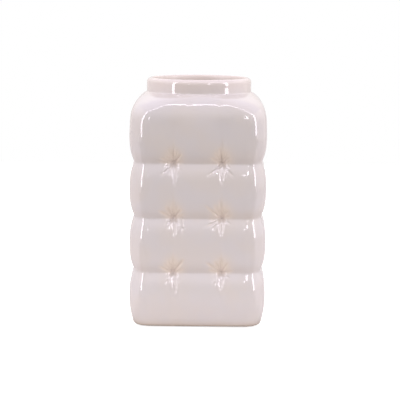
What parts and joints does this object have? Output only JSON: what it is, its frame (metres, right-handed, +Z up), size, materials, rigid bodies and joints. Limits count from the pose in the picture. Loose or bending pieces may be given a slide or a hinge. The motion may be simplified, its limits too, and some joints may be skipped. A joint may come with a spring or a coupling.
{
  "type": "vase",
  "caption": "Hollow square ceramic vase of stacked, button-tufted pillows with a round collar, standing on small pads.",
  "frame": {"origin": "middle of the plane that the pads stand on, under the middle of the vessel", "axes": "+Z up through the mouth, -Y out of the pictured face, +X to that face's right"},
  "size_m": [0.172, 0.172, 0.305],
  "materials": {
    "lustre_glaze": "high-gloss pearl lustre glaze",
    "pad_rubber": "matte"
  },
  "bodies": {
    "root": {"vase_body": "lustre_glaze", "foot_pad_front_left": "pad_rubber", "foot_pad_front_right": "pad_rubber", "foot_pad_back_left": "pad_rubber", "foot_pad_back_right": "pad_rubber"}
  },
  "joints": []
}
